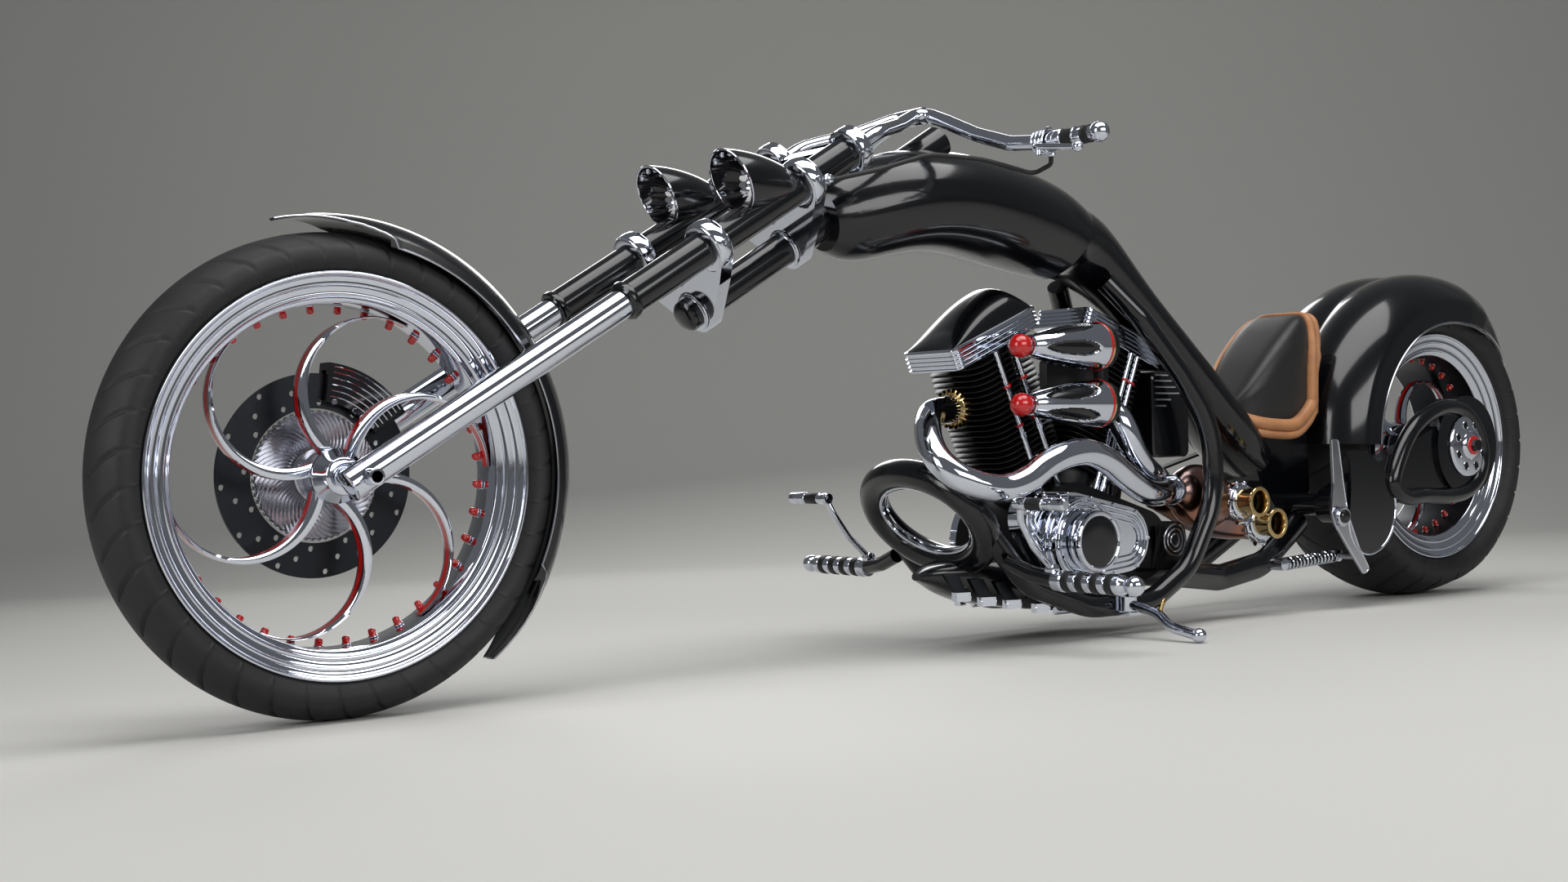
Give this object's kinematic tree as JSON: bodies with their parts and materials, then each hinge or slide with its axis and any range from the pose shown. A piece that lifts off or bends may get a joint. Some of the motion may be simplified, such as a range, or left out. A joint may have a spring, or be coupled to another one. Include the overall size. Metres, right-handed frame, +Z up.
{
  "type": "custom chopper motorcycle",
  "caption": "Long-fork custom motorcycle leaning on its side stand, with a v-twin engine, teardrop tank, curved-blade wheels and hooped mudguards.",
  "frame": {"origin": "middle of the footprint on the ground, with the bike leaning on its side stand", "axes": "+X towards the front wheel, +Y to the rider's left (the side it leans to), +Z up"},
  "size_m": [3.175, 0.93, 0.9595],
  "materials": {
    "black_paint": "deep gloss black",
    "chrome": "polished",
    "polished": "polished castings",
    "black_engine": "satin black",
    "steel": "machined",
    "tyre": "matte",
    "rubber": "matte",
    "leather": "black hide",
    "tan_leather": "tan rolled edge",
    "red": "gloss red",
    "brass": "polished",
    "copper": "heat-tinted copper plate",
    "reflector": "faceted bowl"
  },
  "bodies": {
    "frame": {"rear_mudguard": "black_paint", "tank": "black_paint", "head_tube": "black_paint", "spine": "black_paint", "frame_rails": "black_paint", "front_hoop": "black_paint", "crankcase": "black_engine", "cylinders": "black_engine", "pushrod_tubes": "chrome", "rocker_covers": "chrome", "rocker_domes": "black_paint", "cam_cover": "chrome", "drive_cover": "chrome", "intake_body": "polished", "intake_trumpets": "chrome", "trumpet_balls": "red", "exhaust_pipes": "chrome", "mufflers": "copper", "exhaust_tips": "brass", "belly_pan": "black_paint", "belly_slats": "chrome", "side_panels": "black_paint", "seat_pad": "leather", "seat_base": "black_paint", "swingarm": "black_paint", "rocker_plate": "polished", "leaf_cover": "black_paint", "rear_spring": "chrome", "rear_rails": "black_paint", "drive_belt": "rubber", "footpegs": "chrome", "foot_levers": "chrome", "stand_lug": "chrome"},
    "fork": {"fork_legs": "chrome", "fork_tubes": "black_paint", "fork_clamps": "chrome", "steering_stem": "black_paint", "bar_clamp": "chrome", "front_axle": "chrome", "handlebar": "chrome", "grips": "chrome", "hand_levers": "chrome", "brake_line": "rubber", "lamp_housings": "black_paint", "lamp_reflectors": "reflector", "front_mudguard": "black_paint", "brake_caliper": "black_paint"},
    "front_wheel": {"front_tyre": "tyre", "front_rim": "chrome", "front_spokes": "chrome", "brake_disc": "steel", "disc_carrier": "polished"},
    "rear_wheel": {"rear_tyre": "tyre", "rear_rim": "chrome", "rear_spokes": "chrome", "rear_pulley": "steel"},
    "side_stand": {"side_stand": "chrome"}
  },
  "joints": [
    {"name": "steering", "type": "hinge", "parent": "frame", "child": "fork", "pos_m": [0.40921, 0.00299, 0.70994], "axis": [-0.8652, 0.0175, 0.5012], "range_deg": [-25, 25]},
    {"name": "front_wheel_spin", "type": "hinge", "parent": "fork", "child": "front_wheel", "pos_m": [1.2395, -0.00965, 0.34791], "axis": [0, 0.9994, -0.0349], "continuous": true},
    {"name": "rear_wheel_spin", "type": "hinge", "parent": "frame", "child": "rear_wheel", "pos_m": [-1.2605, -0.01038, 0.32692], "axis": [0, 0.9994, -0.0349], "continuous": true},
    {"name": "side_stand_fold", "type": "hinge", "parent": "frame", "child": "side_stand", "pos_m": [-0.2145, 0.14841, 0.06022], "axis": [0, 0.0349, 0.9994], "range_deg": [0, 88]}
  ]
}
